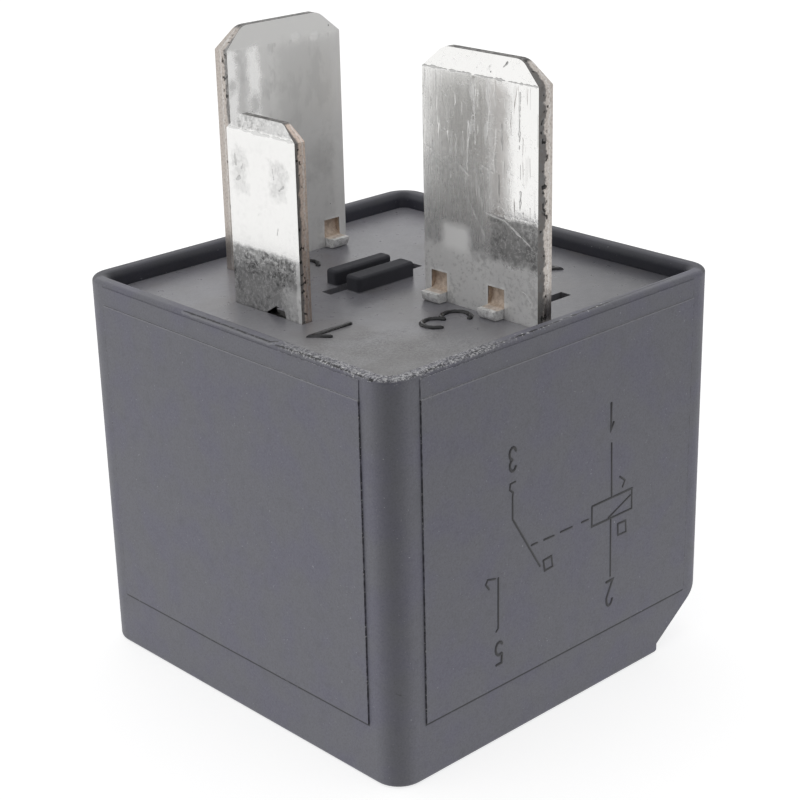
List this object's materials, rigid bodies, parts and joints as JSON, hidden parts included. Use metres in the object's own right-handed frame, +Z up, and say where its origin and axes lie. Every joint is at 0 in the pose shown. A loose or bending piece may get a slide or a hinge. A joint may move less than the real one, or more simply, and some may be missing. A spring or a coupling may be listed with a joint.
{
  "type": "automotive relay",
  "caption": "Sealed cube relay with upright blade terminals; inside, a coil pulls a hinged armature whose leaf spring closes the load contact.",
  "frame": {"origin": "middle of the cap's closed face, on the surface that the relay stands on", "axes": "+Z up towards the tips of the blades; +Y towards the switched blade (5); -Y the face with the wiring diagram; +X the face with the bevelled foot, on the side of coil blade 2"},
  "size_m": [0.0288, 0.0288, 0.0406],
  "materials": {
    "cap_plastic": "slate grey glass-filled nylon with a fine matt grain",
    "base_plastic": "slate grey glass-filled nylon, slightly glossier than the cap",
    "tinned_blade": "bright tin plate over copper alloy, with drawing streaks and fine scratches",
    "plated_iron": "zinc-plated soft iron",
    "bobbin_plastic": "natural nylon",
    "enamelled_copper": "enamelled copper wire",
    "spring_bronze": "rolled copper alloy leaf",
    "contact_silver": "silver alloy, softly polished",
    "rivet_metal": "plated steel"
  },
  "bodies": {
    "housing": {"cap": "cap_plastic", "base": "base_plastic", "terminal_1": "tinned_blade", "terminal_2": "tinned_blade", "terminal_3": "tinned_blade", "terminal_5": "tinned_blade", "yoke": "plated_iron", "core": "plated_iron", "bobbin": "bobbin_plastic", "winding": "enamelled_copper", "coil_lead_start": "enamelled_copper", "coil_lead_finish": "enamelled_copper", "contact_spring": "spring_bronze", "fixed_contact": "contact_silver", "yoke_rivets": "rivet_metal"},
    "armature": {"armature": "plated_iron", "moving_contact": "contact_silver", "armature_rivets": "rivet_metal"}
  },
  "joints": [
    {"name": "armature_pivot", "type": "hinge", "parent": "housing", "child": "armature", "pos_m": [0, -0.0097, 0.00558], "axis": [1, 0, 0], "range_deg": [0, 2.4], "stiffness_Nm_per_rad": 0.05, "springref_deg": -5.73, "deforming": ["contact_spring"]}
  ]
}
